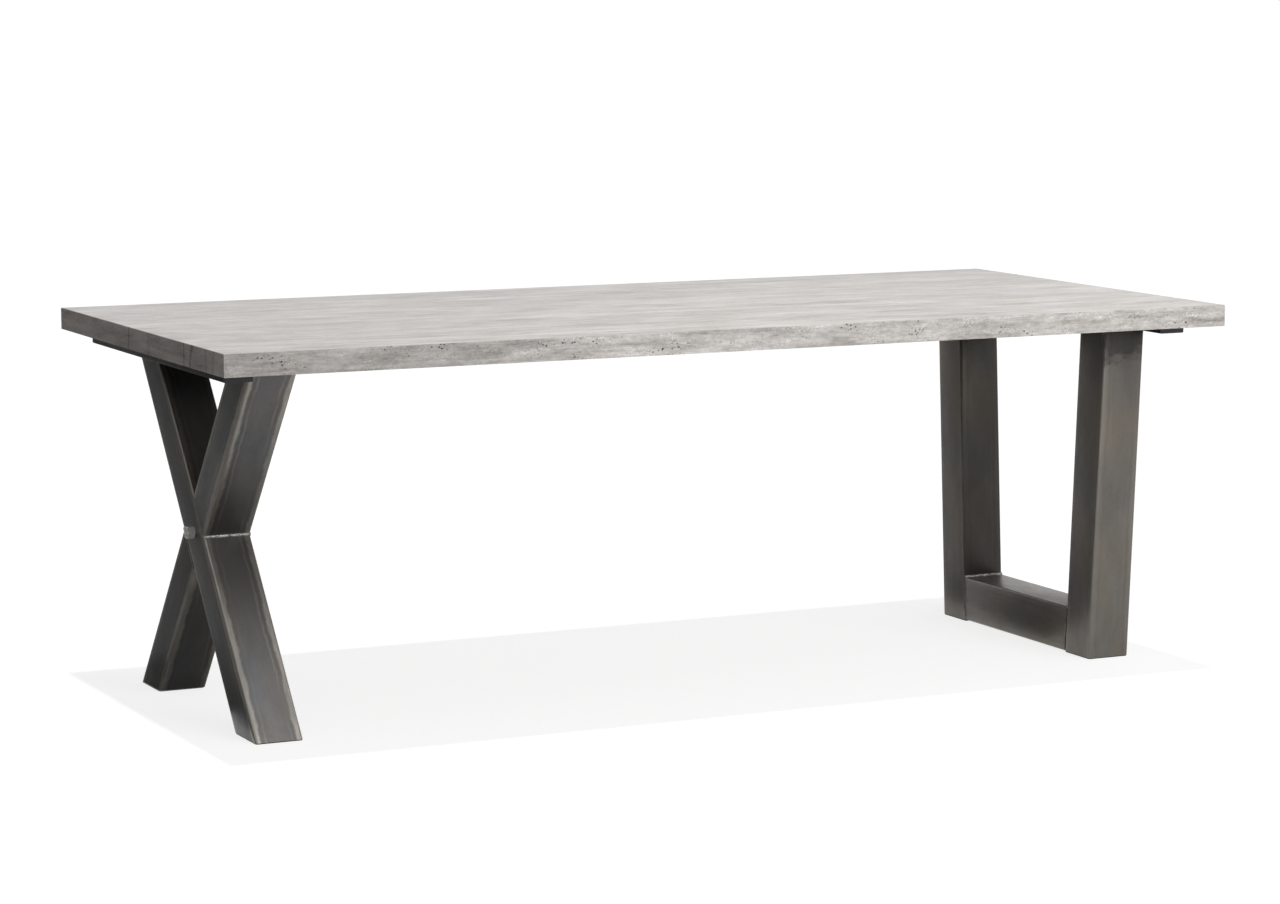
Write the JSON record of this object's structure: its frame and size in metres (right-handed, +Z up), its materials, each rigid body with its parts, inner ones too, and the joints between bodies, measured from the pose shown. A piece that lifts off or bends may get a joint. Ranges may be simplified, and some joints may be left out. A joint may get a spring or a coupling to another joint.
{
  "type": "extending dining table",
  "caption": "Rectangular dining table with a slab top on one X-shaped and one U-shaped steel leg, and a pull-out leaf bearer under each end.",
  "frame": {"origin": "on the floor under the middle of the top", "axes": "+X along the table's length towards the U-shaped leg, +Y across it towards the back, +Z up"},
  "size_m": [2.2, 1, 0.768],
  "materials": {
    "chipboard": "raw pressed chips",
    "concrete_decor": "matt concrete-look melamine, fine lengthwise streaks",
    "backing_paper": "plain matt backing",
    "edge_decor": "matt concrete-look edge band, mottled",
    "raw_steel": "dark raw steel under satin clear lacquer",
    "weld_steel": "brushed weld metal under satin clear lacquer",
    "plate_steel": "satin dark grey",
    "zinc": "bright zinc plating",
    "black_paint": "satin black powder coat",
    "black_plastic": "matt black",
    "nylon": "natural nylon"
  },
  "bodies": {
    "table": {"top_core": "chipboard", "top_laminate": "concrete_decor", "top_backing": "backing_paper", "edge_band_front": "edge_decor", "edge_band_back": "edge_decor", "edge_band_left": "edge_decor", "edge_band_right": "edge_decor", "x_leg_through_tube": "raw_steel", "x_leg_upper_tube": "raw_steel", "x_leg_lower_tube": "raw_steel", "x_leg_weld_front": "weld_steel", "x_leg_weld_back": "weld_steel", "crossing_bolt": "zinc", "crossing_nut": "zinc", "u_leg_front_tube": "raw_steel", "u_leg_back_tube": "raw_steel", "u_leg_beam": "raw_steel", "x_leg_front_plate": "plate_steel", "x_leg_front_glide": "black_plastic", "x_leg_front_bolt_1": "zinc", "x_leg_front_bolt_2": "zinc", "x_leg_front_bolt_3": "zinc", "x_leg_front_bolt_4": "zinc", "x_leg_back_plate": "plate_steel", "x_leg_back_glide": "black_plastic", "x_leg_back_bolt_1": "zinc", "x_leg_back_bolt_2": "zinc", "x_leg_back_bolt_3": "zinc", "x_leg_back_bolt_4": "zinc", "u_leg_front_plate": "plate_steel", "u_leg_front_glide": "black_plastic", "u_leg_front_bolt_1": "zinc", "u_leg_front_bolt_2": "zinc", "u_leg_front_bolt_3": "zinc", "u_leg_front_bolt_4": "zinc", "u_leg_back_plate": "plate_steel", "u_leg_back_glide": "black_plastic", "u_leg_back_bolt_1": "zinc", "u_leg_back_bolt_2": "zinc", "u_leg_back_bolt_3": "zinc", "u_leg_back_bolt_4": "zinc", "left_channel_front": "black_paint", "left_channel_back": "black_paint", "right_channel_front": "black_paint", "right_channel_back": "black_paint"},
    "left_bearer": {"left_bearer_bar": "black_paint", "left_bearer_plug_front": "black_plastic", "left_bearer_plug_back": "black_plastic", "left_runner_front": "black_paint", "left_runner_front_shoe": "nylon", "left_runner_back": "black_paint", "left_runner_back_shoe": "nylon"},
    "right_bearer": {"right_bearer_bar": "black_paint", "right_bearer_plug_front": "black_plastic", "right_bearer_plug_back": "black_plastic", "right_runner_front": "black_paint", "right_runner_front_shoe": "nylon", "right_runner_back": "black_paint", "right_runner_back_shoe": "nylon"}
  },
  "joints": [
    {"name": "left_bearer_slide", "type": "slide", "parent": "table", "child": "left_bearer", "axis": [-1, 0, 0], "range_m": [0, 0.5]},
    {"name": "right_bearer_slide", "type": "slide", "parent": "table", "child": "right_bearer", "axis": [1, 0, 0], "range_m": [0, 0.5]}
  ]
}
